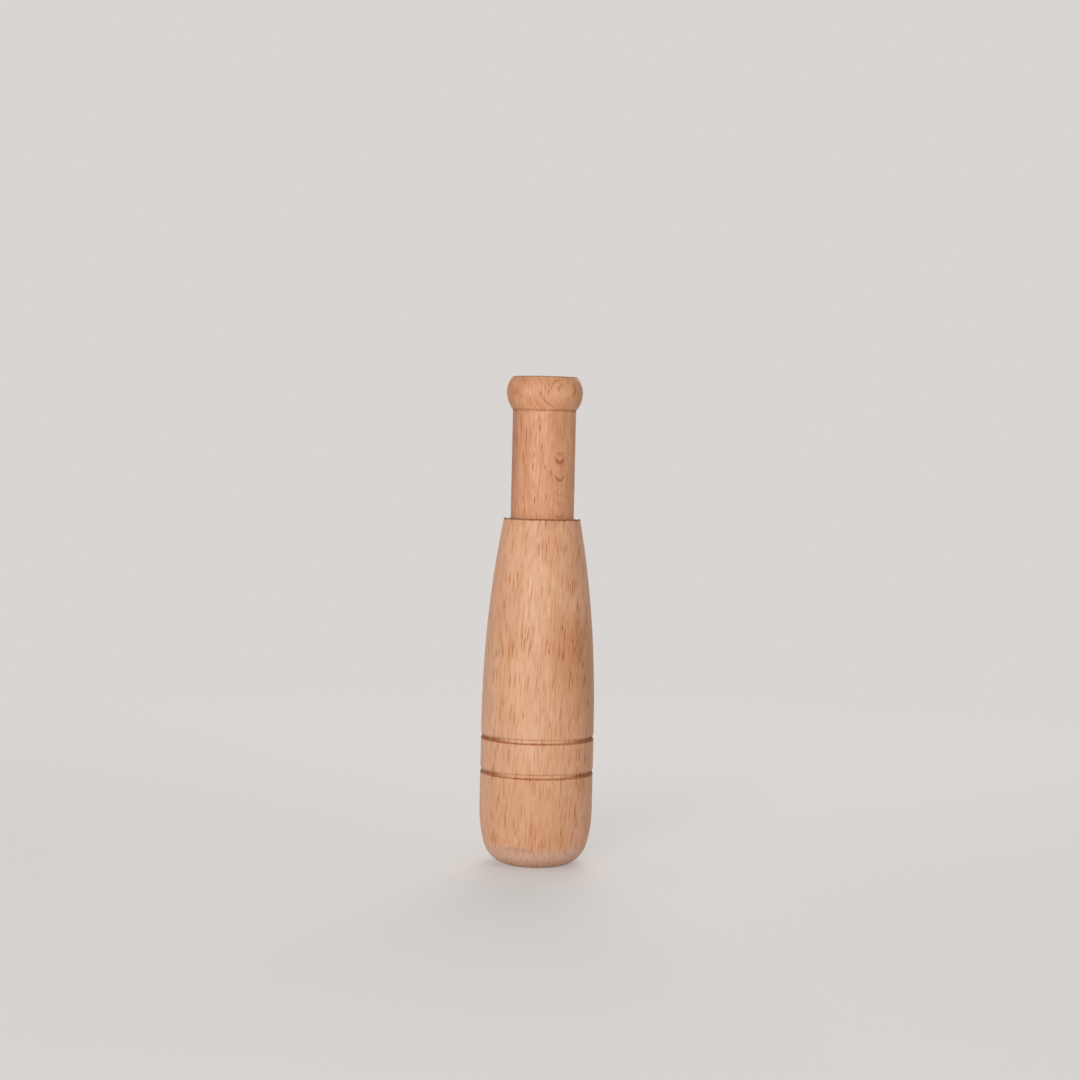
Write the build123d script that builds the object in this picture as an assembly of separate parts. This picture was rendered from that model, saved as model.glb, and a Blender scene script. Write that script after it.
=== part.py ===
from build123d import *
import os
from math import radians, sqrt, tan

# A turned wooden duck call: a bored barrel, and an insert that pushes into it and carries the reed.
# Millimetres, +Z up. The call's axis is Z, and the origin is the middle of the barrel's lip, on the
# plane that the call stands on. The reed faces -Y. Heights are measured from that plane.

# Barrel, outside: rounded lip, straight belly with burnt grooves, and a taper to the rim
barrel_length = 87.6
belly_dia = 28.6
belly_top = 34.0
shoulder_inset = 0.4
shoulder_height = 51.0
rim_wall = 1.45
rim_round = 0.3
lip_land = 2.0
lip_knee_inset = 1.18
lip_knee_height = 5.2
lip_round_height = 14.0
groove_width = 1.3
groove_depth = 0.25
lower_groove_height = 23.8
groove_spacing = 8.7
groove_count = 2

# Barrel, bored from both ends
mouth_bore_dia = 10.0
mouth_bore_length = 16.0
mouth_round = 1.0
seat_ledge = 1.7
socket_chamfer = 0.4

# Insert: tenon, neck and bead in one turned piece
stem_dia = 16.0
tenon_length = 22.0
tenon_clearance = 0.2
tenon_chamfer = 0.6
neck_length = 27.5
bead_height = 8.2
bead_crest_height = 4.5
bead_rise = 1.625
bead_step = 0.15
plug_stop = 1.0
outlet_round = 0.6

# Seal ring in its groove round the tenon
seal_section_dia = 1.5
seal_below_rim = 8.0
seal_clearance = 0.05
seal_side_clearance = 0.2
seal_wall = 1.6

# Tone board: plug, collar, head with the reed pocket, and the board itself
plug_length = 10.0
plug_clearance = 0.02
plug_bore_dia = 5.0
collar_thickness = 1.6
chamber_clearance = 0.25
head_length = 9.0
pocket_wall = 0.75
pocket_end_wall = 1.5
board_tip_room = 6.0
board_margin = 0.6
board_tip_radius = 3.4
face_offset = 0.6
face_relief_angle = 2.2
channel_land = 2.0
channel_depth = 3.4
channel_end_wall = 7.0

# Reed, and the wedge that holds its tail in the pocket
reed_thickness = 0.3
reed_tip_setback = 1.5
reed_tip_radius = 2.6
wedge_thickness = 2.7
wedge_overhang = 2.5
wedge_chamfer = 0.8
pocket_side_clearance = 0.1
tail_end_clearance = 0.2
seat_gap = 0.02

# Heights that follow from the sizes above
seat_height = barrel_length - tenon_length
bead_base = barrel_length + neck_length
bead_top = bead_base + bead_height
plug_top = seat_height + plug_length
seal_height = barrel_length - seal_below_rim
collar_base = seat_height - collar_thickness
head_base = collar_base - head_length
board_tip = mouth_bore_length + board_tip_room
pocket_end = collar_base - pocket_end_wall
reed_root = head_base - wedge_overhang
reed_tip = board_tip + reed_tip_setback
tail_end = pocket_end - tail_end_clearance

# Radii that follow
belly_radius = belly_dia / 2
mouth_radius = mouth_bore_dia / 2
stem_radius = stem_dia / 2
socket_radius = stem_radius + tenon_clearance
chamber_radius = socket_radius - seat_ledge
rim_radius = socket_radius + rim_wall
seal_radius = seal_section_dia / 2
seal_middle_radius = socket_radius - seal_clearance - seal_radius
seal_groove_radius = seal_middle_radius - seal_radius - seal_clearance
plug_socket_radius = seal_groove_radius - seal_wall
outlet_radius = plug_socket_radius - plug_stop
head_radius = chamber_radius - chamber_clearance

# The reed's stack across the pocket, from the board's face towards -Y, and the widths that fit it
reed_back = -face_offset - seat_gap
reed_front = reed_back - reed_thickness
wedge_back = reed_front - seat_gap
wedge_front = wedge_back - wedge_thickness
pocket_roof = wedge_front - seat_gap
pocket_width = 2 * sqrt((head_radius - pocket_wall) ** 2 - pocket_roof**2)
reed_width = pocket_width - 2 * pocket_side_clearance
board_width = reed_width + 2 * board_margin
channel_width = reed_width - 2 * channel_land


def rod(radius, low, high):
    """A round bar on the call's axis between two heights."""
    return Pos(0, 0, low) * Cylinder(radius, high - low, align=(Align.CENTER, Align.CENTER, Align.MIN))


def block(width, back, front, low, high):
    """A box centred on X, from y = front to y = back, between two heights."""
    box = Box(width, back - front, high - low, align=(Align.CENTER, Align.MIN, Align.MIN))
    return Pos(0, front, low) * box


def turned(outline):
    """The solid that a lathe leaves from an outline of radius and height."""
    return revolve(Plane.XZ * make_face(outline), axis=Axis.Z)


def rings_at(piece, radius, height):
    """The round edges of a turned piece that have this radius and lie at this height."""
    def here(edge):
        return abs(edge.radius - radius) < 1e-4 and abs(edge.arc_center.Z - height) < 1e-4
    return piece.edges().filter_by(GeomType.CIRCLE).filter_by(here)


def strip(width, low, high, tip_radius):
    """A flat strip in the XZ plane with its lower corners rounded, as the board and the reed are cut."""
    sheet = Pos(0, low) * Rectangle(width, high - low, align=(Align.CENTER, Align.MIN))
    return Plane.XZ * fillet(sheet.vertices().group_by(Axis.Y)[0], tip_radius)


def make_barrel():
    lip_edge = (mouth_radius + mouth_round + lip_land, 0)
    knee = (belly_radius - lip_knee_inset, lip_knee_height)
    shoulder = (belly_radius - shoulder_inset, shoulder_height)
    upper_round = TangentArc((belly_radius, lip_round_height), knee, tangent=(0, -1))
    lower_round = TangentArc(knee, lip_edge, tangent=upper_round % 1)
    slow_taper = TangentArc((belly_radius, belly_top), shoulder, tangent=(0, 1))
    quick_taper = TangentArc(shoulder, (rim_radius, barrel_length), tangent=slow_taper % 1)
    outline = [
        Line((0, 0), lip_edge),
        lower_round,
        upper_round,
        Line((belly_radius, lip_round_height), (belly_radius, belly_top)),
        slow_taper,
        quick_taper,
        Line((rim_radius, barrel_length), (0, barrel_length)),
        Line((0, barrel_length), (0, 0)),
    ]
    barrel = turned(outline)
    barrel -= rod(mouth_radius, 0, mouth_bore_length)
    barrel -= rod(chamber_radius, mouth_bore_length, seat_height)
    barrel -= rod(socket_radius, seat_height, barrel_length)
    cutter_radius = (groove_width**2 / 4 + groove_depth**2) / (2 * groove_depth)
    for step in range(groove_count):
        height = lower_groove_height + step * groove_spacing
        barrel -= Pos(0, 0, height) * Torus(belly_radius - groove_depth + cutter_radius, cutter_radius)
    barrel = fillet(rings_at(barrel, rim_radius, barrel_length), rim_round)
    barrel = fillet(rings_at(barrel, mouth_radius, 0), mouth_round)
    return chamfer(rings_at(barrel, socket_radius, barrel_length), socket_chamfer)


def make_insert():
    bead_end = stem_radius + bead_step
    crest = (stem_radius + bead_rise, bead_base + bead_crest_height)
    outline = [
        Line((0, seat_height), (stem_radius, seat_height)),
        Line((stem_radius, seat_height), (stem_radius, bead_base)),
        Line((stem_radius, bead_base), (bead_end, bead_base)),
        TangentArc(crest, (bead_end, bead_base), tangent=(0, -1)),
        TangentArc(crest, (bead_end, bead_top), tangent=(0, 1)),
        Line((bead_end, bead_top), (0, bead_top)),
        Line((0, bead_top), (0, seat_height)),
    ]
    insert = turned(outline)
    insert -= rod(outlet_radius, seat_height, bead_top)
    insert -= rod(plug_socket_radius, seat_height, plug_top)
    seal_space = seal_radius + seal_side_clearance
    groove = rod(stem_dia, seal_height - seal_space, seal_height + seal_space)
    insert -= groove - rod(seal_groove_radius, seat_height, bead_top)
    insert = chamfer(rings_at(insert, stem_radius, seat_height), tenon_chamfer)
    return fillet(rings_at(insert, outlet_radius, bead_top), outlet_round)


def make_seal_ring():
    return Pos(0, 0, seal_height) * Torus(seal_middle_radius, seal_radius)


def make_tone_board():
    board = extrude(strip(board_width, board_tip, head_base, board_tip_radius), stem_dia, both=True)
    board &= block(stem_dia, stem_dia, -face_offset, board_tip, head_base)
    board &= rod(head_radius, board_tip, head_base)
    tone_board = board + rod(head_radius, head_base, seat_height)
    tone_board += rod(plug_socket_radius - plug_clearance, seat_height, plug_top)
    tone_board -= block(pocket_width, -face_offset, pocket_roof, head_base, pocket_end)
    return tone_board - face_relief() - tone_channel()


def face_relief():
    """What is planed off the board's face so that it falls away from the reed towards the tip."""
    fall = (reed_root - board_tip) * tan(radians(face_relief_angle))
    root = (-face_offset, reed_root)
    tip = (-face_offset, board_tip)
    profile = Plane.YZ * Polygon(root, tip, (-face_offset + fall, board_tip), align=None)
    return extrude(profile, stem_dia, both=True)


def tone_channel():
    """The air's way out: a round-bottomed trough under the reed, then a bore through the plug."""
    low = board_tip + channel_end_wall
    floor = -face_offset + channel_depth - channel_width / 2
    trough = block(channel_width, floor, -face_offset, low, collar_base)
    trough += Pos(0, floor) * rod(channel_width / 2, low, collar_base)
    return trough + rod(plug_bore_dia / 2, collar_base, plug_top)


def make_reed():
    blank = strip(reed_width, reed_tip, tail_end, reed_tip_radius)
    return Pos(0, reed_back) * extrude(blank, reed_thickness, dir=(0, -1, 0))


def make_wedge():
    wedge = block(reed_width, wedge_back, wedge_front, reed_root, tail_end)
    front_edge = wedge.edges().filter_by(Axis.X).group_by(Axis.Z)[0].sort_by(Axis.Y)[0]
    return chamfer(front_edge, wedge_chamfer)


pieces = {
    "barrel": make_barrel(),
    "insert": make_insert(),
    "seal_ring": make_seal_ring(),
    "tone_board": make_tone_board(),
    "reed": make_reed(),
    "reed_wedge": make_wedge(),
}

os.makedirs("parts", exist_ok=True)
for name, piece in pieces.items():
    export_step(piece, f"parts/{name}.step")
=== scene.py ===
import math
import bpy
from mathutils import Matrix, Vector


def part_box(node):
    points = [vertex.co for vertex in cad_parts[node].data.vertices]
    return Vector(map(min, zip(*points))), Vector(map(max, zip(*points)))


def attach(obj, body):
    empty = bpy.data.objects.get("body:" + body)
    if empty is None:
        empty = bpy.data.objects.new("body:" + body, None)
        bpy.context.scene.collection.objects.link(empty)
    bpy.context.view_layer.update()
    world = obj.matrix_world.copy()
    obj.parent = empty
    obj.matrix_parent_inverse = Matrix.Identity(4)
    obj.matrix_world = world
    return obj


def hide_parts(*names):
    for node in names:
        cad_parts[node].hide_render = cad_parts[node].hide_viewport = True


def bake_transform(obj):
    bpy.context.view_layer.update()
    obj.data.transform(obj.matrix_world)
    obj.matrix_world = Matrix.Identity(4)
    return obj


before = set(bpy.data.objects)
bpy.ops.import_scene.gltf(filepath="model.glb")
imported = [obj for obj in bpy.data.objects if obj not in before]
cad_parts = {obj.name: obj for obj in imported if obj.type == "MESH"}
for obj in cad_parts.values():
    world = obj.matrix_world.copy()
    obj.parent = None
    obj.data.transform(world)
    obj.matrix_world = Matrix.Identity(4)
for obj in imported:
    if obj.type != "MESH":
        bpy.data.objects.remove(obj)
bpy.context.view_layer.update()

from types import SimpleNamespace

import bmesh
import bpy
from mathutils import Matrix, Vector

# A turned beech duck call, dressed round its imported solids. Metres, +Z up, the reed faces -Y.
# Sizes inside the materials are millimetres.
MM = 0.001

# Camera at the photograph's viewing angle: in front of the call and a little above it, leaning with it
CAMERA_AIM = Vector((-0.43, 0, 82.1)) * MM
CAMERA_DISTANCE = 557 * MM
CAMERA_ABOVE = math.radians(2.2)
CAMERA_LEAN = math.radians(1.3)
CAMERA_LENS = 73.3
CAMERA_SENSOR = 36.0

# Studio, in metres: a pale floor that fades into the backdrop, even light from all round, and softboxes,
# each with its place, its width and its power in watts
BACKDROP_TONE = "#D9D5D2"
FLOOR_TONE = "#EEEBE8"
FLOOR_RADIUS = 4.0
FADE_START = 0.05
FADE_END = 0.42
LEAST_FADE = 0.4
AMBIENT_TONE = "#F6F4F2"
AMBIENT_STRENGTH = 0.25
LAMP_AIM = Vector((0, 0, 0.06))
SOFTBOXES = {
    "key": ((-0.26, -0.895, 0.225), 0.5, 5.5),
    "fill": ((0.7, -0.5, 0.3), 0.6, 0.5),
    "top": ((0.0, 0.1, 1.1), 0.8, 2.0),
    "back": ((0.1, 0.9, 0.45), 0.8, 4.5),
}

# Reed, its rounded tips and the cuts across it, and the edges of wedge and board
REED_TIP_RADIUS = 2.6 * MM
REED_BEND_CUTS = 40
WEDGE_PARED = 0.8 * MM
WEDGE_SOFTENED = 0.18 * MM
BOARD_EDGE_WIDTH = 0.15 * MM

# The barrel's wood, in mm. Growth gives the trunk's turn and leans in degrees, its lengths, and the weight
# of each part of the figure.
BELLY_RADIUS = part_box("barrel")[1].x / MM
RIM_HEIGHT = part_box("barrel")[1].z / MM
RIM_RADIUS = 9.65
GROOVE_HEIGHTS = (32.5, 23.8)
LIP_TOP = 6.5
BARREL_TONES = {
    "pale": "#E3B391",
    "deep": "#CC9266",
    "pink": "#DB9F82",
    "ring": "#B07A52",
    "ray": "#A45300",
    "dirt": "#D0BDB0",
}
BARREL_GROWTH = {
    "bark_turn": 90,
    "pith_distance": 60,
    "pith_height": 0,
    "lean_out": 1.5,
    "lean_round": 3.0,
    "sway": 2.4,
    "patches": 1.1,
    "layers": 0.8,
    "streaks": 1.1,
    "fibres": 1.1,
    "small_rays": 0.3,
    "small_ray_size": (3.0, 0.24, 5.0),
    "sparse": 0.5,
    "bark_side_rays": 0.85,
    "ring_width": 2.2,
    "ring_lines": 0.1,
}
# Seed, width and height of a cell, reach of the lens in it, strength
BARREL_RAYS = (
    (0.0, (0.45, 8.0), 0.28, 1.0),
    (37.0, (0.7, 12.0), 0.16, 1.0),
)
# Place across, height, length, strength
BARREL_BOLD_RAYS = (
    (-5.9, 73.7, 2.5, 0.8),
    (-4.9, 75.7, 1.4, 0.7),
    (-7.7, 72.6, 1.8, 0.7),
    (-9.0, 66.0, 2.9, 0.9),
    (9.4, 65.9, 3.2, 0.95),
    (11.7, 61.7, 1.4, 0.7),
    (5.6, 60.9, 1.8, 0.95),
    (-8.3, 60.9, 2.5, 0.6),
    (-1.7, 60.6, 2.2, 0.5),
    (-4.3, 58.5, 2.0, 0.8),
    (8.3, 57.5, 1.4, 0.9),
    (1.9, 57.3, 1.6, 0.8),
    (2.3, 55.1, 1.4, 0.7),
    (8.9, 55.1, 2.2, 0.8),
    (6.1, 53.8, 2.0, 0.95),
    (-10.7, 53.8, 2.2, 0.6),
    (11.0, 51.4, 2.2, 0.8),
    (7.9, 49.2, 2.5, 0.7),
    (12.6, 41.8, 2.9, 0.8),
    (-8.6, 41.7, 2.1, 0.5),
    (-3.6, 39.1, 2.1, 0.7),
    (3.1, 36.8, 2.1, 0.7),
    (12.0, 27.9, 2.5, 0.7),
    (10.7, 20.6, 2.5, 0.7),
    (-9.3, 17.8, 2.5, 0.6),
    (9.8, 14.9, 4.2, 0.8),
    (-4.8, 10.0, 2.5, 0.6),
    (6.4, 9.7, 2.5, 0.8),
)
# Middle, half sizes, strength, tone: stains, and painted shade and sheen where marked
BARREL_STAINS_AND_PAINTED_LIGHT = (
    # painted shade on the right front
    ((7.0, -12.0, 54.0), (7.0, 7.0, 17.0), 0.6, "#C17F4F"),
    ((9.8, -9.6, 59.0), (1.8, 3.0, 15.0), 0.5, "#A9713F"),
    ((-9.7, -9.6, 64.0), (1.2, 3.0, 20.0), 0.35, "#C4945F"),
    # painted shade down the right side
    ((16.0, -6.0, 48.0), (12.0, 10.0, 30.0), 0.6, "#B57A4E"),
    # darker and more orange towards the bottom
    ((0.0, -14.0, 15.0), (18.0, 18.0, 18.0), 0.4, "#CB9163"),
    # painted sheen: paler and greyer down the left side
    ((-13.0, -7.0, 45.0), (6.0, 8.0, 40.0), 0.4, "#DDB197"),
    ((-5.0, -11.5, 5.2), (6.0, 4.0, 1.2), 0.4, "#8F7058"),
)
# Radius, height, reach, strength in front, strength at the sides, tone: a dark rim, and in each groove a
# middle that shows only at the sides, which is painted shade where the groove turns from the light, an upper
# line, burnt and darkened further as painted shadow under the groove's upper lip, and a burnt lower line.
# The lines are stronger at the sides partly as painted shade.
BARREL_BURNS_AND_SHADE = [(RIM_RADIUS, RIM_HEIGHT, 0.5, 0.95, 1.0, "#6B3F22")]
for groove in GROOVE_HEIGHTS:
    BARREL_BURNS_AND_SHADE += [
        # painted shade: the groove's middle, dark only at the sides
        (BELLY_RADIUS - 0.1, groove - 0.1, 0.5, 0.0, 1.0, "#763200"),
        # burn, with painted shadow under the groove's upper lip
        (BELLY_RADIUS, groove + 0.35, 0.26, 0.7, 1.0, "#8A4C26"),
        (BELLY_RADIUS, groove - 0.55, 0.4, 0.85, 1.0, "#9A4C06"),
    ]

# The insert's wood, in mm, with the same columns. Its rings lie along its right front, where single years
# come out as arcs.
# The neck's edge, where shade is painted under the bead, and the bead's ends
NECK_EDGE_RADIUS = 8.1
NECK_EDGE_HEIGHT = 114.8
BEAD_END_RADIUS = 8.15
BEAD_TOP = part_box("insert")[1].z / MM
INSERT_TONES = {
    "pale": "#DFA982",
    "deep": "#BF7E50",
    "pink": "#D69573",
    "ring": "#9C5A2C",
    "ray": "#984A00",
}
INSERT_GROWTH = {
    "bark_turn": 59,
    "pith_distance": 52.65,
    "pith_height": 100,
    "lean_out": 5.0,
    "lean_round": 1.5,
    "sway": 0.08,
    "patches": 1.2,
    "layers": 1.6,
    "streaks": 1.1,
    "fibres": 1.4,
    "small_rays": 0.4,
    "small_ray_size": (3.0, 0.28, 7.5),
    "sparse": 0.1,
    "bark_side_rays": 0.3,
    "ring_width": 2.1,
    "ring_lines": 0.2,
}
INSERT_RAYS = (
    (11.0, (0.6, 9.0), 0.18, 0.8),
    (37.0, (1.1, 10.0), 0.11, 1.0),
)
INSERT_BOLD_RAYS = (
    (-1.2, 118.9, 1.7, 0.95),
    (0.8, 119.4, 1.6, 0.9),
    (1.4, 113.3, 1.4, 0.6),
    (-1.3, 112.6, 1.8, 0.5),
    (-5.8, 111.2, 5.0, 0.65),
    (-1.1, 110.4, 2.0, 0.9),
    (-4.4, 108.9, 4.0, 0.65),
    (-6.9, 107.1, 3.4, 0.55),
    (-0.5, 105.6, 2.5, 0.8),
    (-2.4, 103.6, 2.0, 0.6),
    (-5.1, 102.8, 3.8, 0.65),
    (0.4, 100.6, 1.4, 0.8),
    (2.0, 99.2, 1.9, 0.8),
    (-2.5, 95.9, 2.4, 0.5),
    (0.9, 93.3, 1.7, 0.6),
    (-4.9, 92.6, 2.6, 0.65),
    (-2.0, 92.3, 2.2, 0.95),
    (-6.8, 91.3, 2.6, 0.6),
    (-4.4, 89.6, 2.6, 0.55),
)
# Distance from the pith, thickness, middle and reach of the place where it shows, strength
INSERT_YEARS = (
    (59.57, 0.045, (4.1, -6.9, 88.4), 2.2, 0.5),
    (59.86, 0.04, (4.1, -6.9, 91.6), 1.9, 0.25),
    (60.06, 0.04, (4.1, -6.9, 93.9), 1.9, 0.3),
    (60.39, 0.065, (4.1, -6.9, 97.7), 2.0, 0.85),
    (60.77, 0.08, (4.1, -6.9, 102.1), 2.1, 0.95),
    (60.95, 0.05, (4.1, -6.9, 104.0), 1.4, 0.55),
    (62.23, 0.13, (0.7, -8.8, 116.4), 2.6, 0.85),
    (63.39, 0.13, (2.5, -9.2, 121.4), 2.4, 0.7),
    (63.39, 0.13, (7.5, -6.1, 120.0), 2.2, 0.95),
    (63.84, 0.08, (3.5, -8.9, 120.6), 1.5, 0.6),
)
INSERT_STAINS_AND_PAINTED_LIGHT = (
    # reddish-brown down the stem's left side: partly its own tone, partly painted shade
    ((-8.0, -2.0, 104.0), (4.5, 6.5, 30.0), 0.75, "#B2725A"),
    ((-2.6, -7.6, 103.0), (1.4, 3.0, 20.0), 0.28, "#E8B89B"),
    ((-7.5, -6.0, 119.2), (1.8, 4.0, 1.8), 0.6, "#BF6E46"),
    ((-5.4, -7.6, 122.2), (1.8, 3.0, 1.2), 0.5, "#C77B55"),
    # painted highlight on the bead's left front
    ((-4.4, -8.6, 119.4), (2.2, 3.0, 2.2), 0.4, "#E6B79C"),
    ((4.5, -8.3, 119.2), (6.0, 4.0, 4.0), 0.35, "#EBBA92"),
)
# The same columns: a ring of painted shade on the neck under the bead, and a dark line round the bead's top
# edge
INSERT_BURNS_AND_SHADE = (
    # painted shade under the bead
    (NECK_EDGE_RADIUS, NECK_EDGE_HEIGHT, 0.45, 0.6, 0.55, "#8A5230"),
    (BEAD_END_RADIUS, BEAD_TOP, 0.4, 0.85, 0.85, "#7A4A2C"),
)


# Small tools

def linear(hex_colour):
    """An sRGB hex colour as linear RGBA."""
    shares = [int(hex_colour[i:i + 2], 16) / 255 for i in (1, 3, 5)]
    return [s / 12.92 if s <= 0.04045 else ((s + 0.055) / 1.055) ** 2.4 for s in shares] + [1.0]


def per(size):
    """The scale at which a pattern of this size in mm repeats."""
    return [1 / length for length in size]


def live_output(node):
    """The first output that a node offers in its present mode."""
    return next(socket for socket in node.outputs if socket.enabled)


def add(tree, kind, inputs=None, **settings):
    """Adds a node with its settings, and fills its inputs with values, sockets or nodes' live outputs."""
    made = tree.nodes.new(kind)
    for name, value in settings.items():
        setattr(made, name, value)
    for name, value in (inputs or {}).items():
        if isinstance(value, bpy.types.Node):
            value = live_output(value)
        if isinstance(value, bpy.types.NodeSocket):
            tree.links.new(value, made.inputs[name])
        else:
            made.inputs[name].default_value = value
    return made


def new_material(name, ior):
    """A material with a plain Principled shader: returns the material, its tree and its shader."""
    material = bpy.data.materials.new(name)
    material.use_nodes = True
    tree = material.node_tree
    shader = tree.nodes["Principled BSDF"]
    shader.inputs["IOR"].default_value = ior
    return material, tree, shader


def finish_shader(tree, shader, colour, roughness, bump):
    """Joins a material's colour, roughness and bump to its shader."""
    tree.links.new(live_output(colour), shader.inputs["Base Color"])
    tree.links.new(live_output(roughness), shader.inputs["Roughness"])
    tree.links.new(live_output(bump), shader.inputs["Normal"])


def in_millimetres(tree):
    """A point's place on its piece, in mm."""
    place = add(tree, "ShaderNodeTexCoord")
    return add(tree, "ShaderNodeVectorMath", {
        0: place.outputs["Object"],
        "Scale": 1 / MM,
    }, operation="SCALE")


def round_axis(tree, place):
    """A place as its distance from the Z axis, its turn round it in radians, and its height."""
    axes = add(tree, "ShaderNodeSeparateXYZ", {0: place})
    flat = add(tree, "ShaderNodeCombineXYZ", {0: axes.outputs["X"], 1: axes.outputs["Y"]})
    distance = add(tree, "ShaderNodeVectorMath", {0: flat}, operation="LENGTH")
    turn = add(tree, "ShaderNodeMath", {0: axes.outputs["Y"], 1: axes.outputs["X"]}, operation="ARCTAN2")
    return distance, turn, axes.outputs["Z"]


def off_middle(tree, place, middle, size):
    """How far a place lies from a middle, as a share of an ellipsoid with these half sizes."""
    offset = add(tree, "ShaderNodeVectorMath", {0: place, 1: middle}, operation="SUBTRACT")
    scaled = add(tree, "ShaderNodeVectorMath", {0: offset, 1: per(size)}, operation="MULTIPLY")
    return add(tree, "ShaderNodeVectorMath", {0: scaled}, operation="LENGTH")


def dress(piece, material):
    """Gives a piece one material in place of those it has."""
    piece.data.materials.clear()
    piece.data.materials.append(material)


def link_mesh(name, shape):
    """A new object from a bmesh whose place is already in its vertices."""
    mesh = bpy.data.meshes.new(name)
    shape.to_mesh(mesh)
    shape.free()
    piece = bpy.data.objects.new(name, mesh)
    bpy.context.scene.collection.objects.link(piece)
    return piece


# Beech, turned on a lathe and oiled: a warm, even, satin wood with short brown dashes along its grain.
# The dashes are the ends of rays, which run from the pith out to the bark, so they are plain on faces
# that look towards the bark and fade on faces cut along the rays. The figure is worked out in the
# trunk's own coordinates, and its sizes are in towards the pith, round it and up, in mm.
# Real fibres are about 0.02 mm thick, and are drawn at 0.25 mm so that they show.
PATCH_SIZE = (5.0, 4.0, 22.0)
LAYER_SIZE = (0.3, 5.0, 25.0)
STREAK_SIZE = (0.6, 0.32, 22.0)
FIBRE_SIZE = (0.35, 0.25, 7.0)
PINK_SIZE = (7, 5, 15)
CROWD_SIZE = (6, 2.5, 12)

# The slow sway of the grain, both ways across the trunk and up, the ragged edge of a stain, a burn or a
# painted shade or highlight, across, in and up, and the lip's pores, round in radians, out and up
SWAY_SIZE = (14, 14, 45)
FRAY_SIZE = (0.5, 0.5, 4)
PORE_SIZE = (0.025, 1.5, 1.5)

# The share of a pattern that is left on faces where it is faint, and how far slow patches and the fray
# move the edge of a stain or of a painted shade, sheen or highlight
FAINT_SHARE = 0.2
PATCH_SWAY = 0.8
PATCH_FRAY = 0.6

# The smallest lens in a crowd of rays as a share of its reach, and the strength of the faintest
SMALLEST_LENS = 0.4
FAINTEST_LENS = 0.35

# A single bold ray is a thin upright lens: the Y of its middle, near the front face, how far it reaches
# in from there, half its width, and half its height as a share of its length, because its ends fade
BOLD_RAY_Y = -12.0
BOLD_RAY_REACH = 20.0
BOLD_RAY_HALF_WIDTH = 0.19
BOLD_RAY_HALF_SHARE = 0.6

# The height over which the lip's dirt fades out, and how strong it is below that
LIP_FADE = 3.0
LIP_DIRT = 0.42

# How much rougher the burnt marks and the painted shade rings are, the height of the fibres, and how low the
# rays stand as a share of it
BURNT_AND_SHADED_ROUGHER = 0.5
FIBRE_HEIGHT = 0.02 * MM
RAY_DEPTH = 0.15


def trunk_place(tree, millimetres, growth):
    """A point's place in the trunk, its place on the bark, and its distance from the pith, in mm.

    The bark side is turned to +X. The piece's axis lies pith_distance from the pith at pith_height, and
    leans out and round from there.
    """
    turned = add(tree, "ShaderNodeMapping", {
        "Vector": millimetres,
        "Rotation": (0.0, 0.0, math.radians(growth["bark_turn"])),
    })
    lean_out = math.radians(growth["lean_out"])
    lean_round = math.radians(growth["lean_round"])
    pith_offset = growth["pith_distance"] - growth["pith_height"] * math.sin(lean_out)
    trunk = add(tree, "ShaderNodeMapping", {
        "Vector": turned,
        "Location": (pith_offset, growth["pith_height"] * math.sin(lean_round), 0.0),
        "Rotation": (lean_round, lean_out, 0.0),
    })
    slow = add(tree, "ShaderNodeVectorMath", {0: trunk, 1: per(SWAY_SIZE)}, operation="MULTIPLY")
    wander = add(tree, "ShaderNodeTexNoise", {"Vector": slow, "Scale": 1.0, "Detail": 2.0})
    centred = add(tree, "ShaderNodeVectorMath", {
        0: wander.outputs["Color"],
        1: (0.5, 0.5, 0.5),
    }, operation="SUBTRACT")
    sway = (growth["sway"], growth["sway"], 0.0)
    bent = add(tree, "ShaderNodeVectorMath", {0: centred, 1: sway, 2: trunk}, operation="MULTIPLY_ADD")
    from_pith, turn, height = round_axis(tree, bent)
    round_way = add(tree, "ShaderNodeMath", {0: turn, 1: growth["pith_distance"]}, operation="MULTIPLY")
    wood = add(tree, "ShaderNodeCombineXYZ", {0: from_pith, 1: round_way, 2: height})
    bark = add(tree, "ShaderNodeCombineXYZ", {0: round_way, 1: height})
    return wood, bark, from_pith


def beech_point(tree, growth):
    """All that the patterns ask of a point.

    Its place on the piece, on the lathe and in the trunk, how far its face looks towards the bark or the
    pith, sideways and endways, and two patterns that are used more than once.
    """
    millimetres = in_millimetres(tree)
    normal = add(tree, "ShaderNodeTexCoord").outputs["Normal"]
    wood, bark, from_pith = trunk_place(tree, millimetres, growth)
    radius, turn, height = round_axis(tree, millimetres)
    bark_turn = math.radians(growth["bark_turn"])
    bark_way = (math.cos(bark_turn), -math.sin(bark_turn), 0.0)
    to_bark = add(tree, "ShaderNodeVectorMath", {0: normal, 1: bark_way}, operation="DOT_PRODUCT")
    ways = add(tree, "ShaderNodeSeparateXYZ", {0: normal})
    pink_place = add(tree, "ShaderNodeVectorMath", {0: wood, 1: per(PINK_SIZE)}, operation="MULTIPLY")
    fray_place = add(tree, "ShaderNodeVectorMath", {0: millimetres, 1: per(FRAY_SIZE)}, operation="MULTIPLY")
    return SimpleNamespace(
        millimetres=millimetres,
        radius=radius,
        turn=turn,
        height=height,
        wood=wood,
        bark=bark,
        from_pith=from_pith,
        facing=add(tree, "ShaderNodeMath", {0: to_bark}, operation="ABSOLUTE"),
        sideways=add(tree, "ShaderNodeMath", {0: ways.outputs["X"]}, operation="ABSOLUTE"),
        endways=add(tree, "ShaderNodeMath", {0: ways.outputs["Z"]}, operation="ABSOLUTE"),
        pink=add(tree, "ShaderNodeTexNoise", {"Vector": pink_place, "Scale": 1.0, "Detail": 2.0}),
        fray=add(tree, "ShaderNodeTexNoise", {"Vector": fray_place, "Scale": 1.0, "Detail": 2.0}),
    )


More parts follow.
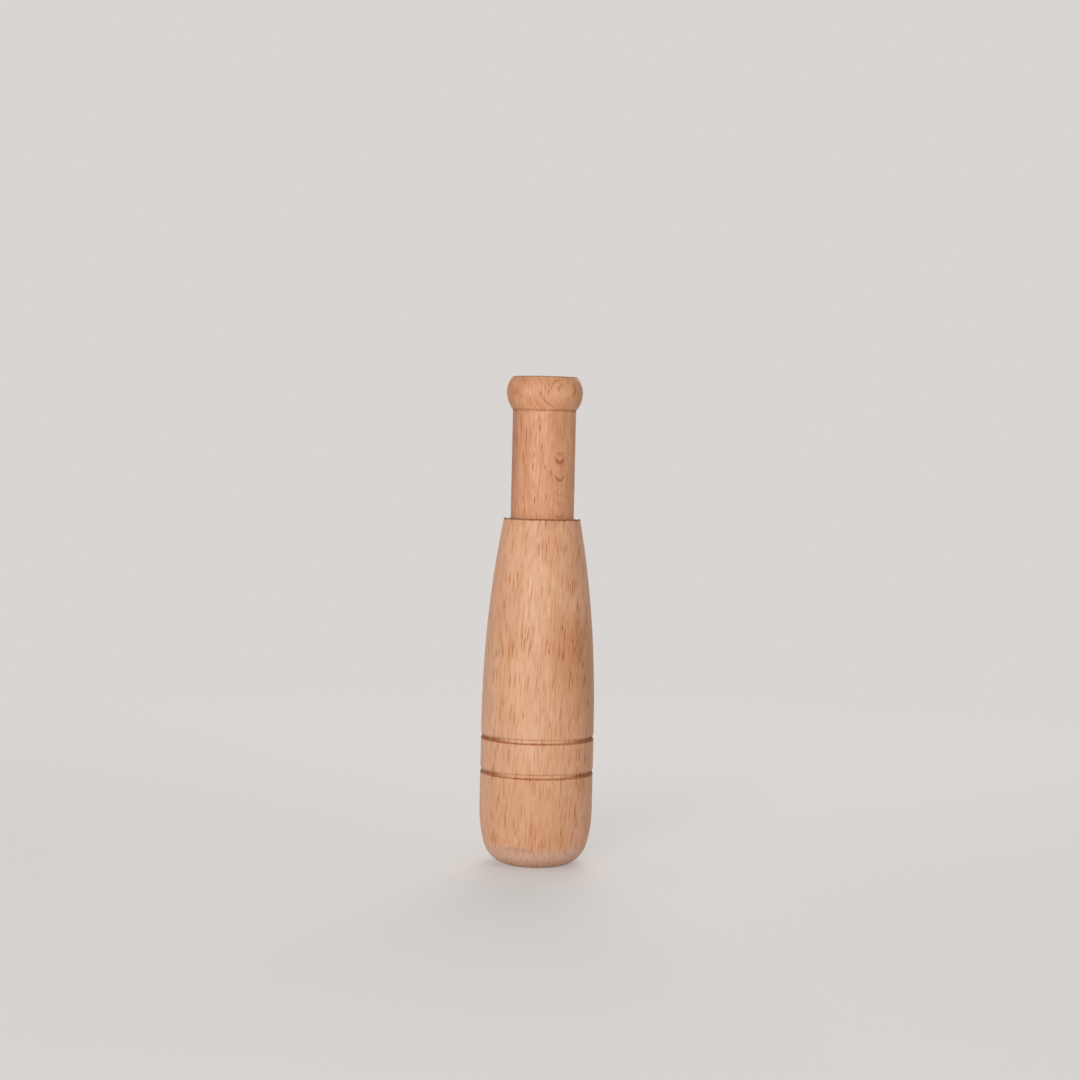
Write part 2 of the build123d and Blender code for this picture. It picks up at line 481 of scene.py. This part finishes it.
def wood_grain(tree, at, tones, growth):
    """The colour of patches, layers within a year's ring, streaks and fibres, and the fibres' pattern.

    The layers show as lines where the face is cut across the rings.
    """
    layers = add(tree, "ShaderNodeMapRange", {
        "Value": at.facing,
        "From Min": 0.5,
        "From Max": 0.9,
        "To Min": growth["layers"],
        "To Max": FAINT_SHARE * growth["layers"],
    })
    share = 0.5
    for size, detail, weight in (
        (PATCH_SIZE, 3.0, growth["patches"]),
        (LAYER_SIZE, 2.0, layers),
        (STREAK_SIZE, 2.0, growth["streaks"]),
        (FIBRE_SIZE, 3.0, growth["fibres"]),
    ):
        place = add(tree, "ShaderNodeVectorMath", {0: at.wood, 1: per(size)}, operation="MULTIPLY")
        grain = add(tree, "ShaderNodeTexNoise", {"Vector": place, "Scale": 1.0, "Detail": detail})
        above_mean = add(tree, "ShaderNodeMath", {0: grain, 1: 0.5}, operation="SUBTRACT")
        share = add(tree, "ShaderNodeMath", {0: above_mean, 1: weight, 2: share}, operation="MULTIPLY_ADD")
    fibres = grain
    colour = add(tree, "ShaderNodeMix", {
        "Factor": share,
        "A": linear(tones["pale"]),
        "B": linear(tones["deep"]),
    }, data_type="RGBA")
    return colour, fibres


def ring_lines(tree, at, colour, tones, growth):
    """Thin dark lines along the rings, some bold and most faint, plainest where the face lies along them."""
    rings = add(tree, "ShaderNodeMath", {0: at.from_pith, 1: growth["ring_width"]}, operation="DIVIDE")
    within = add(tree, "ShaderNodeMath", {0: rings}, operation="FRACT")
    late = add(tree, "ShaderNodeMapRange", {"Value": within, "From Min": 0.35, "From Max": 0.98})
    thin_line = add(tree, "ShaderNodeMath", {0: late, 1: 4.0}, operation="POWER")
    number = add(tree, "ShaderNodeMath", {0: rings}, operation="FLOOR")
    bold = add(tree, "ShaderNodeTexWhiteNoise", {"W": number}, noise_dimensions="1D")
    uneven_line = add(tree, "ShaderNodeMath", {0: thin_line, 1: bold}, operation="MULTIPLY")
    along_ring = add(tree, "ShaderNodeMapRange", {
        "Value": at.facing,
        "From Min": 0.8,
        "From Max": 0.98,
        "To Min": FAINT_SHARE * growth["ring_lines"],
        "To Max": growth["ring_lines"],
    })
    return add(tree, "ShaderNodeMix", {
        "Factor": add(tree, "ShaderNodeMath", {0: uneven_line, 1: along_ring}, operation="MULTIPLY"),
        "A": colour,
        "B": linear(tones["ring"]),
    }, data_type="RGBA")


def pink_patches(tree, at, colour, tones):
    """Patches where the wood is pinker."""
    share = add(tree, "ShaderNodeMapRange", {
        "Value": at.pink,
        "From Min": 0.4,
        "From Max": 0.7,
        "To Max": 0.5,
    })
    return add(tree, "ShaderNodeMix", {
        "Factor": share,
        "A": colour,
        "B": linear(tones["pink"]),
    }, data_type="RGBA")


def stains_and_painted_light(tree, at, colour, stain_and_light_patches):
    """Patches of other tones with frayed edges, stains among them and some painted shade, sheen and
    highlights, each given as its middle, half sizes, strength and tone.
    """
    for middle, size, strength, tone in stain_and_light_patches:
        distance = off_middle(tree, at.millimetres, middle, size)
        uneven = add(tree, "ShaderNodeMath", {
            0: at.pink,
            1: PATCH_SWAY,
            2: distance,
        }, operation="MULTIPLY_ADD")
        frayed = add(tree, "ShaderNodeMath", {
            0: at.fray,
            1: PATCH_FRAY,
            2: uneven,
        }, operation="MULTIPLY_ADD")
        share = add(tree, "ShaderNodeMapRange", {
            "Value": frayed,
            "From Min": 0.8,
            "From Max": 1.7,
            "To Min": strength,
            "To Max": 0.0,
        }, interpolation_type="SMOOTHSTEP")
        colour = add(tree, "ShaderNodeMix", {
            "Factor": share,
            "A": colour,
            "B": linear(tone),
        }, data_type="RGBA")
    return colour


def year_lines(tree, at, colour, years, tones):
    """Single years whose late wood shows in places.

    Each is given as its distance from the pith and its thickness, the middle and reach of the place where
    it shows, and its strength.
    """
    for year_distance, thickness, middle, reach, strength in years:
        depth = add(tree, "ShaderNodeMath", {0: at.from_pith, 1: year_distance}, operation="SUBTRACT")
        off_year = add(tree, "ShaderNodeMath", {0: depth}, operation="ABSOLUTE")
        year = add(tree, "ShaderNodeMapRange", {
            "Value": off_year,
            "From Max": thickness,
            "To Min": strength,
            "To Max": 0.0,
        }, interpolation_type="SMOOTHSTEP")
        away = add(tree, "ShaderNodeVectorMath", {0: at.millimetres, 1: middle}, operation="DISTANCE")
        shown = add(tree, "ShaderNodeMapRange", {
            "Value": away,
            "From Min": 0.5 * reach,
            "From Max": reach,
            "To Min": year,
            "To Max": 0.0,
        })
        colour = add(tree, "ShaderNodeMix", {
            "Factor": shown,
            "A": colour,
            "B": linear(tones["ring"]),
        }, data_type="RGBA")
    return colour


def small_rays(tree, at, growth):
    """How far each point lies in one of a crowd of small rays."""
    scale = per(growth["small_ray_size"])
    place = add(tree, "ShaderNodeVectorMath", {0: at.wood, 1: scale}, operation="MULTIPLY")
    crowd = add(tree, "ShaderNodeTexNoise", {"Vector": place, "Scale": 1.0, "Detail": 1.0})
    return add(tree, "ShaderNodeMapRange", {
        "Value": crowd,
        "From Min": 0.56,
        "From Max": 0.69,
        "To Max": growth["small_rays"],
    })


def ray_lenses(tree, at, seed, cell, reach, strength):
    """How far each point lies in an upright lens: one to a cell, of chance sizes, and a few of them bold.

    A lens runs straight in towards the pith, so it is drawn on the bark, by way round and height.
    """
    across, along = cell
    cells = add(tree, "ShaderNodeMapping", {
        "Vector": at.bark,
        "Location": (seed, seed, 0.0),
        "Scale": per((across, along, 1.0)),
    })
    lens = add(tree, "ShaderNodeTexVoronoi", {"Vector": cells, "Scale": 1.0}, voronoi_dimensions="2D")
    chance = add(tree, "ShaderNodeSeparateColor", {0: lens.outputs["Color"]})
    size = add(tree, "ShaderNodeMath", {
        0: chance.outputs[0],
        1: reach,
        2: reach * SMALLEST_LENS,
    }, operation="MULTIPLY_ADD")
    near = add(tree, "ShaderNodeMath", {0: lens.outputs["Distance"], 1: size}, operation="DIVIDE")
    inside = add(tree, "ShaderNodeMapRange", {
        "Value": near,
        "From Min": 0.55,
        "From Max": 1.0,
        "To Min": strength,
        "To Max": 0.0,
    })
    few_bold = add(tree, "ShaderNodeMath", {0: chance.outputs[1], 1: 2.0}, operation="POWER")
    boldness = add(tree, "ShaderNodeMath", {
        0: few_bold,
        1: 1 - FAINTEST_LENS,
        2: FAINTEST_LENS,
    }, operation="MULTIPLY_ADD")
    return add(tree, "ShaderNodeMath", {0: boldness, 1: inside}, operation="MULTIPLY")


def thinned_rays(tree, at, rays, growth):
    """The rays with sparse stretches between crowded ones, faint on faces cut along the rays."""
    place = add(tree, "ShaderNodeVectorMath", {0: at.wood, 1: per(CROWD_SIZE)}, operation="MULTIPLY")
    crowd = add(tree, "ShaderNodeTexNoise", {"Vector": place, "Scale": 1.0, "Detail": 1.0})
    crowded = add(tree, "ShaderNodeMapRange", {
        "Value": crowd,
        "From Min": 0.32,
        "From Max": 0.62,
        "To Min": growth["sparse"],
        "To Max": 1.0,
    })
    cut_along = add(tree, "ShaderNodeMapRange", {
        "Value": at.facing,
        "From Min": 0.1,
        "From Max": 0.6,
        "To Min": 0.15,
        "To Max": 1.0,
    })
    on_bark_side = add(tree, "ShaderNodeMapRange", {
        "Value": at.facing,
        "From Min": 0.75,
        "From Max": 1.0,
        "To Min": cut_along,
        "To Max": growth["bark_side_rays"],
    })
    thinned = add(tree, "ShaderNodeMath", {0: rays, 1: crowded}, operation="MULTIPLY")
    return add(tree, "ShaderNodeMath", {0: thinned, 1: on_bark_side}, operation="MULTIPLY")


def ray_marks(tree, at, growth, ray_sizes, bold_rays):
    """How far each point lies in a ray: small ones, lenses of larger sizes, and single bold ones in front.

    A bold ray is given as its place across and up, its length and its strength.
    """
    rays = small_rays(tree, at, growth)
    for seed, cell, reach, strength in ray_sizes:
        dash = ray_lenses(tree, at, seed, cell, reach, strength)
        rays = add(tree, "ShaderNodeMath", {0: rays, 1: dash}, operation="MAXIMUM")
    rays = thinned_rays(tree, at, rays, growth)
    for across, up, length, strength in bold_rays:
        middle = (across, BOLD_RAY_Y, up)
        lens = (BOLD_RAY_HALF_WIDTH, BOLD_RAY_REACH, BOLD_RAY_HALF_SHARE * length)
        dash = add(tree, "ShaderNodeMapRange", {
            "Value": off_middle(tree, at.millimetres, middle, lens),
            "From Min": 0.5,
            "From Max": 1.0,
            "To Min": strength,
            "To Max": 0.0,
        })
        rays = add(tree, "ShaderNodeMath", {0: rays, 1: dash}, operation="MAXIMUM")
    return rays


def dirty_lip(tree, at, colour, lip_top, tones):
    """The lip has taken up dirt, mostly in its pores, and gone greyer."""
    dirt = add(tree, "ShaderNodeMapRange", {
        "Value": at.height,
        "From Min": lip_top - LIP_FADE,
        "From Max": lip_top,
        "To Min": LIP_DIRT,
        "To Max": 0.0,
    })
    greyed = add(tree, "ShaderNodeMix", {
        "Factor": dirt,
        "A": colour,
        "B": linear(tones["dirt"]),
    }, data_type="RGBA")
    lip_place = add(tree, "ShaderNodeCombineXYZ", {0: at.turn, 1: at.radius, 2: at.height})
    pore_place = add(tree, "ShaderNodeVectorMath", {0: lip_place, 1: per(PORE_SIZE)}, operation="MULTIPLY")
    pores = add(tree, "ShaderNodeTexNoise", {"Vector": pore_place, "Scale": 1.0, "Detail": 1.0})
    filled = add(tree, "ShaderNodeMapRange", {
        "Value": pores,
        "From Min": 0.5,
        "From Max": 0.7,
        "To Max": dirt,
    })
    return add(tree, "ShaderNodeMix", {
        "Factor": filled,
        "A": greyed,
        "B": linear(tones["ray"]),
    }, data_type="RGBA")


def burnt_and_shaded_rings(tree, at, colour, burns_and_shade):
    """Dark rings round the axis with frayed edges, some burnt and some painted shade: the colour with them,
    and how strongly each point is marked.

    A ring is given as its radius, height and reach, its strength in front and at the sides, and its tone.
    """
    burnt_and_shaded = 0.0
    unevenness = add(tree, "ShaderNodeMapRange", {
        "Value": at.fray,
        "From Min": 0.35,
        "From Max": 0.65,
        "To Min": 0.65,
        "To Max": 1.0,
    })
    for ring_radius, ring_height, reach, front, side, tone in burns_and_shade:
        strength = add(tree, "ShaderNodeMapRange", {
            "Value": at.sideways,
            "From Min": 0.4,
            "From Max": 0.8,
            "To Min": front,
            "To Max": side,
        })
        aside = add(tree, "ShaderNodeMath", {0: at.radius, 1: ring_radius}, operation="SUBTRACT")
        above = add(tree, "ShaderNodeMath", {0: at.height, 1: ring_height}, operation="SUBTRACT")
        away = add(tree, "ShaderNodeCombineXYZ", {0: aside, 1: above})
        distance = add(tree, "ShaderNodeVectorMath", {0: away}, operation="LENGTH")
        frayed = add(tree, "ShaderNodeMath", {0: at.fray, 1: -reach, 2: distance}, operation="MULTIPLY_ADD")
        ring = add(tree, "ShaderNodeMapRange", {
            "Value": frayed,
            "From Min": -0.2 * reach,
            "From Max": 0.5 * reach,
            "To Min": strength,
            "To Max": 0.0,
        })
        mark = add(tree, "ShaderNodeMath", {0: ring, 1: unevenness}, operation="MULTIPLY")
        colour = add(tree, "ShaderNodeMix", {
            "Factor": mark,
            "A": colour,
            "B": linear(tone),
        }, data_type="RGBA")
        burnt_and_shaded = add(tree, "ShaderNodeMath", {0: burnt_and_shaded, 1: mark}, operation="MAXIMUM")
    return colour, burnt_and_shaded


def end_grain(tree, at, colour, tones):
    """Open end grain drinks the oil and darkens."""
    share = add(tree, "ShaderNodeMapRange", {
        "Value": at.endways,
        "From Min": 0.6,
        "From Max": 1.0,
        "To Max": 0.35,
    })
    return add(tree, "ShaderNodeMix", {
        "Factor": share,
        "A": colour,
        "B": linear(tones["ray"]),
    }, data_type="RGBA")


def beech(name, tones, growth, ray_sizes, bold_rays, stain_and_light_patches, burns_and_shade, years=(), lip_top=None):
    """A piece's own beech: the wood as it grew, then the marks of the lathe and of use with some painted
    shade, sheen and highlights, then the oil.
    """
    material, tree, shader = new_material(name, ior=1.48)
    at = beech_point(tree, growth)
    colour, fibres = wood_grain(tree, at, tones, growth)
    colour = ring_lines(tree, at, colour, tones, growth)
    colour = pink_patches(tree, at, colour, tones)
    colour = stains_and_painted_light(tree, at, colour, stain_and_light_patches)
    colour = year_lines(tree, at, colour, years, tones)
    rays = ray_marks(tree, at, growth, ray_sizes, bold_rays)
    colour = add(tree, "ShaderNodeMix", {
        "Factor": rays,
        "A": colour,
        "B": linear(tones["ray"]),
    }, data_type="RGBA")
    if lip_top is not None:
        colour = dirty_lip(tree, at, colour, lip_top, tones)
    colour, burnt_and_shaded = burnt_and_shaded_rings(tree, at, colour, burns_and_shade)
    colour = end_grain(tree, at, colour, tones)

    # Oil leaves the fibres satin and burnt wood dull, the painted shade rings dull with it, and the rays
    # stand a little low
    satin = add(tree, "ShaderNodeMapRange", {
        "Value": fibres,
        "From Min": 0.3,
        "From Max": 0.7,
        "To Min": 0.44,
        "To Max": 0.58,
    })
    roughness = add(tree, "ShaderNodeMath", {
        0: burnt_and_shaded,
        1: BURNT_AND_SHADED_ROUGHER,
        2: satin,
    }, operation="MULTIPLY_ADD")
    relief = add(tree, "ShaderNodeMath", {0: rays, 1: -RAY_DEPTH, 2: fibres}, operation="MULTIPLY_ADD")
    bump = add(tree, "ShaderNodeBump", {"Strength": 1.0, "Distance": FIBRE_HEIGHT, "Height": relief})
    finish_shader(tree, shader, colour, roughness, bump)
    return material


# Black rubber of the seal: matt and faintly dusty, with a fine moulded skin.
# The skin's grain is about 0.03 mm and is drawn at 0.12 mm so that it shows.

def seal_rubber():
    rubber_tone = "#1B1B1A"
    dust_tone = "#33312E"
    dust_size = 1.5
    skin_size = 0.12
    skin_height = 0.01 * MM
    material, tree, shader = new_material("moulded_nitrile_rubber", ior=1.52)
    millimetres = in_millimetres(tree)
    dust = add(tree, "ShaderNodeTexNoise", {"Vector": millimetres, "Scale": 1 / dust_size, "Detail": 4.0})
    dusty = add(tree, "ShaderNodeMapRange", {"Value": dust, "From Min": 0.45, "From Max": 0.75})
    colour = add(tree, "ShaderNodeMix", {
        "Factor": dusty,
        "A": linear(rubber_tone),
        "B": linear(dust_tone),
    }, data_type="RGBA")
    roughness = add(tree, "ShaderNodeMapRange", {"Value": dust, "To Min": 0.5, "To Max": 0.75})
    skin = add(tree, "ShaderNodeTexNoise", {"Vector": millimetres, "Scale": 1 / skin_size, "Detail": 2.0})
    bump = add(tree, "ShaderNodeBump", {"Strength": 0.6, "Distance": skin_height, "Height": skin})
    finish_shader(tree, shader, colour, roughness, bump)
    return material


# Black ABS of the tone board: moulded with a fine spark-eroded grain, and satin where it has been rubbed.
# Spark grain is about 0.05 mm and is drawn at 0.2 mm so that it shows.

def board_plastic():
    dark_tone = "#17181A"
    pale_tone = "#2A2B2C"
    flow_size = (4, 4, 14)
    spark_size = 0.2
    spark_height = 0.03 * MM
    material, tree, shader = new_material("moulded_black_abs", ior=1.54)
    millimetres = in_millimetres(tree)
    flow_place = add(tree, "ShaderNodeVectorMath", {0: millimetres, 1: per(flow_size)}, operation="MULTIPLY")
    flow = add(tree, "ShaderNodeTexNoise", {"Vector": flow_place, "Scale": 1.0, "Detail": 3.0})
    colour = add(tree, "ShaderNodeMix", {
        "Factor": flow,
        "A": linear(dark_tone),
        "B": linear(pale_tone),
    }, data_type="RGBA")
    roughness = add(tree, "ShaderNodeMapRange", {
        "Value": flow,
        "From Min": 0.3,
        "From Max": 0.7,
        "To Min": 0.38,
        "To Max": 0.56,
    })
    grain = add(tree, "ShaderNodeTexNoise", {"Vector": millimetres, "Scale": 1 / spark_size, "Detail": 2.0})
    bump = add(tree, "ShaderNodeBump", {"Strength": 0.8, "Distance": spark_height, "Height": grain})
    finish_shader(tree, shader, colour, roughness, bump)
    return material


# Frosted polyester film of the reed: milky, glossy under a fine frost, with faint lines along the roll.
# Frost is about 0.03 mm and is drawn at 0.15 mm so that it shows.

def reed_film():
    milky_tone = "#E4E0D2"
    line_tone = "#CFCBBB"
    roll_size = (0.4, 4, 30)
    frost_size = 0.15
    frost_height = 0.008 * MM
    material, tree, shader = new_material("frosted_polyester_film", ior=1.58)
    millimetres = in_millimetres(tree)
    roll_place = add(tree, "ShaderNodeVectorMath", {0: millimetres, 1: per(roll_size)}, operation="MULTIPLY")
    roll = add(tree, "ShaderNodeTexNoise", {"Vector": roll_place, "Scale": 1.0, "Detail": 2.0})
    colour = add(tree, "ShaderNodeMix", {
        "Factor": roll,
        "A": linear(milky_tone),
        "B": linear(line_tone),
    }, data_type="RGBA")
    frost = add(tree, "ShaderNodeTexNoise", {"Vector": millimetres, "Scale": 1 / frost_size, "Detail": 2.0})
    roughness = add(tree, "ShaderNodeMapRange", {"Value": frost, "To Min": 0.25, "To Max": 0.5})
    bump = add(tree, "ShaderNodeBump", {"Strength": 0.4, "Distance": frost_height, "Height": frost})
    finish_shader(tree, shader, colour, roughness, bump)
    return material


# Cork of the wedge: pressed granules of several browns with dark seams and pores between them

def wedge_cork():
    pale_tone = "#D3AB7E"
    deep_tone = "#96683C"
    seam_tone = "#6B4526"
    pore_tone = "#5E3B20"
    granule_size = 0.8
    crush_size = 0.5
    crush_reach = (0.7, 0.7, 0.7)
    pore_size = 0.35
    pore_depth = 0.06 * MM
    material, tree, shader = new_material("pressed_cork", ior=1.45)
    millimetres = in_millimetres(tree)
    crush = add(tree, "ShaderNodeTexNoise", {"Vector": millimetres, "Scale": 1 / crush_size, "Detail": 2.0})
    pressed = add(tree, "ShaderNodeVectorMath", {
        0: crush.outputs["Color"],
        1: crush_reach,
        2: millimetres,
    }, operation="MULTIPLY_ADD")
    granules = add(tree, "ShaderNodeTexVoronoi", {"Vector": pressed, "Scale": 1 / granule_size})
    chance = add(tree, "ShaderNodeSeparateColor", {0: granules.outputs["Color"]})
    browns = add(tree, "ShaderNodeMix", {
        "Factor": chance.outputs[0],
        "A": linear(pale_tone),
        "B": linear(deep_tone),
    }, data_type="RGBA")
    edges = add(tree, "ShaderNodeTexVoronoi", {
        "Vector": pressed,
        "Scale": 1 / granule_size,
    }, feature="DISTANCE_TO_EDGE")
    seam = add(tree, "ShaderNodeMapRange", {"Value": edges, "From Max": 0.1, "To Min": 0.45, "To Max": 0.0})
    seamed = add(tree, "ShaderNodeMix", {
        "Factor": seam,
        "A": browns,
        "B": linear(seam_tone),
    }, data_type="RGBA")
    pores = add(tree, "ShaderNodeTexNoise", {"Vector": millimetres, "Scale": 1 / pore_size, "Detail": 3.0})
    pore = add(tree, "ShaderNodeMapRange", {
        "Value": pores,
        "From Min": 0.6,
        "From Max": 0.72,
        "To Max": 0.6,
    })
    colour = add(tree, "ShaderNodeMix", {
        "Factor": pore,
        "A": seamed,
        "B": linear(pore_tone),
    }, data_type="RGBA")
    roughness = add(tree, "ShaderNodeMapRange", {"Value": pores, "To Min": 0.75, "To Max": 0.95})
    hollow = add(tree, "ShaderNodeMath", {0: seam, 1: pore}, operation="ADD")
    bump = add(tree, "ShaderNodeBump", {
        "Strength": 0.8,
        "Distance": pore_depth,
        "Height": hollow,
    }, invert=True)
    finish_shader(tree, shader, colour, roughness, bump)
    return material


# Pieces that stand for plain solids

def make_film_reed():
    """The reed's blank with its free corners rounded, cut across often enough to bend."""
    low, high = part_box("reed")
    shape = bmesh.new()
    corners = ((low[0], low[2]), (high[0], low[2]), (high[0], high[2]), (low[0], high[2]))
    outline = [shape.verts.new((x, high[1], z)) for x, z in corners]
    shape.faces.new(outline)
    bmesh.ops.bevel(shape, geom=outline[:2], offset=REED_TIP_RADIUS, offset_type="OFFSET",
                    affect="VERTICES", segments=10, profile=0.5, material=-1)
    blank = bmesh.ops.extrude_face_region(shape, geom=shape.faces[:])
    front = [item for item in blank["geom"] if isinstance(item, bmesh.types.BMVert)]
    bmesh.ops.translate(shape, verts=front, vec=(0, low[1] - high[1], 0))
    bmesh.ops.recalc_face_normals(shape, faces=shape.faces)
    for cut in range(1, REED_BEND_CUTS):
        height = low[2] + (high[2] - low[2]) * cut / REED_BEND_CUTS
        everything = shape.verts[:] + shape.edges[:] + shape.faces[:]
        bmesh.ops.bisect_plane(shape, geom=everything, plane_co=(0, 0, height), plane_no=(0, 0, 1))
    reed = link_mesh("film_reed", shape)
    dress(reed, reed_film())
    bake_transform(reed)
    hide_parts("reed")


def make_cork_wedge():
    """A cut cork block with its lower front edge pared off and its other edges softened."""
    near = 0.001 * MM
    low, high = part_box("reed_wedge")
    shape = bmesh.new()
    bmesh.ops.create_cube(shape, size=1.0)
    bmesh.ops.scale(shape, verts=shape.verts, vec=high - low)
    bmesh.ops.translate(shape, verts=shape.verts, vec=(high + low) / 2)
    front_edge = [
        edge for edge in shape.edges
        if all(vert.co.y - low.y < near and vert.co.z - low.z < near for vert in edge.verts)
    ]
    bmesh.ops.bevel(shape, geom=front_edge, offset=WEDGE_PARED, offset_type="OFFSET", affect="EDGES",
                    segments=1, profile=0.5, material=-1)
    bmesh.ops.bevel(shape, geom=shape.edges[:], offset=WEDGE_SOFTENED, offset_type="OFFSET", affect="EDGES",
                    segments=3, profile=0.5, material=-1)
    wedge = link_mesh("cork_wedge", shape)
    dress(wedge, wedge_cork())
    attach(wedge, "insert")
    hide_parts("reed_wedge")


def make_tone_board():
    """The board's solid with its flat faces joined up and its edges moulded round."""
    weld = 0.002 * MM
    flat_enough = math.radians(1)
    sharp_enough = math.radians(35)
    shape = bmesh.new()
    shape.from_mesh(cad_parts["tone_board"].data)
    bmesh.ops.remove_doubles(shape, verts=shape.verts, dist=weld)
    bmesh.ops.dissolve_limit(shape, angle_limit=flat_enough, verts=shape.verts, edges=shape.edges)
    board = link_mesh("moulded_tone_board", shape)
    for face in board.data.polygons:
        face.use_smooth = True
    moulded = board.modifiers.new("moulded_edges", "BEVEL")
    moulded.width = BOARD_EDGE_WIDTH
    moulded.segments = 2
    moulded.limit_method = "ANGLE"
    moulded.angle_limit = sharp_enough
    moulded.harden_normals = True
    dress(board, board_plastic())
    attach(board, "insert")
    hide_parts("tone_board")


# Camera and studio

def make_camera():
    data = bpy.data.cameras.new("camera")
    data.sensor_width = CAMERA_SENSOR
    data.lens = CAMERA_LENS
    raised = Matrix.Rotation(math.radians(90) - CAMERA_ABOVE, 3, "X")
    turned = raised @ Matrix.Rotation(CAMERA_LEAN, 3, "Z")
    camera = bpy.data.objects.new("camera", data)
    camera.location = CAMERA_AIM + turned @ Vector((0, 0, CAMERA_DISTANCE))
    camera.rotation_euler = turned.to_euler()
    bpy.context.scene.collection.objects.link(camera)
    bpy.context.scene.camera = camera


def make_softbox(name, place, width, power):
    """A round softbox that faces the middle of the call."""
    data = bpy.data.lights.new(name, "AREA")
    data.shape = "DISK"
    data.size = width
    data.energy = power
    lamp = bpy.data.objects.new(name, data)
    lamp.location = place
    lamp.rotation_euler = (LAMP_AIM - Vector(place)).to_track_quat("-Z", "Y").to_euler()
    lamp.visible_camera = False
    bpy.context.scene.collection.objects.link(lamp)


def seen_directly(tree):
    """1 for rays from the camera, a mirror or glass, and 0 for the rays that light the object."""
    path = add(tree, "ShaderNodeLightPath")
    mirrored = add(tree, "ShaderNodeMath", {
        0: path.outputs["Is Camera Ray"],
        1: path.outputs["Is Glossy Ray"],
    }, operation="MAXIMUM")
    return add(tree, "ShaderNodeMath", {
        0: mirrored,
        1: path.outputs["Is Transmission Ray"],
    }, operation="MAXIMUM")


def make_stage():
    """A pale floor that runs out into the backdrop, so that no horizon shows."""
    shape = bmesh.new()
    bmesh.ops.create_circle(shape, cap_ends=True, radius=FLOOR_RADIUS, segments=96)
    floor = link_mesh("floor", shape)
    material, tree, shader = new_material("pale_floor", ior=1.45)
    shader.inputs["Base Color"].default_value = linear(FLOOR_TONE)
    shader.inputs["Roughness"].default_value = 0.8
    place = add(tree, "ShaderNodeTexCoord")
    distance = add(tree, "ShaderNodeVectorMath", {0: place.outputs["Object"]}, operation="LENGTH")
    far = add(tree, "ShaderNodeMapRange", {
        "Value": distance,
        "From Min": FADE_START,
        "From Max": FADE_END,
        "To Min": LEAST_FADE,
        "To Max": 1.0,
    }, interpolation_type="SMOOTHSTEP")
    share = add(tree, "ShaderNodeMath", {0: far, 1: seen_directly(tree)}, operation="MULTIPLY")
    glow = add(tree, "ShaderNodeEmission", {"Color": linear(BACKDROP_TONE), "Strength": 1.0})
    mixed = add(tree, "ShaderNodeMixShader", {0: share, 1: shader, 2: glow})
    tree.links.new(live_output(mixed), tree.nodes["Material Output"].inputs["Surface"])
    dress(floor, material)


def make_world():
    """Even light from all round, in front of a backdrop that is only seen and lights nothing but gloss."""
    world = bpy.data.worlds.new("studio")
    world.use_nodes = True
    tree = world.node_tree
    ambient = tree.nodes["Background"]
    ambient.inputs["Color"].default_value = linear(AMBIENT_TONE)
    ambient.inputs["Strength"].default_value = AMBIENT_STRENGTH
    backdrop = add(tree, "ShaderNodeBackground", {"Color": linear(BACKDROP_TONE), "Strength": 1.0})
    mixed = add(tree, "ShaderNodeMixShader", {0: seen_directly(tree), 1: ambient, 2: backdrop})
    tree.links.new(live_output(mixed), tree.nodes["World Output"].inputs["Surface"])
    bpy.context.scene.world = world


# The call, dressed and set up in the studio

dress(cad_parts["barrel"], beech(
    "turned_beech_barrel", BARREL_TONES, BARREL_GROWTH, BARREL_RAYS, BARREL_BOLD_RAYS, BARREL_STAINS_AND_PAINTED_LIGHT,
    BARREL_BURNS_AND_SHADE, lip_top=LIP_TOP))
dress(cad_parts["insert"], beech(
    "turned_beech_insert", INSERT_TONES, INSERT_GROWTH, INSERT_RAYS, INSERT_BOLD_RAYS, INSERT_STAINS_AND_PAINTED_LIGHT,
    INSERT_BURNS_AND_SHADE, years=INSERT_YEARS))
dress(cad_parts["seal_ring"], seal_rubber())
make_film_reed()
make_cork_wedge()
make_tone_board()

make_stage()
for softbox, (place, width, power) in SOFTBOXES.items():
    make_softbox(softbox, place, width, power)
make_world()
make_camera()
bpy.context.scene.view_settings.view_transform = "Standard"
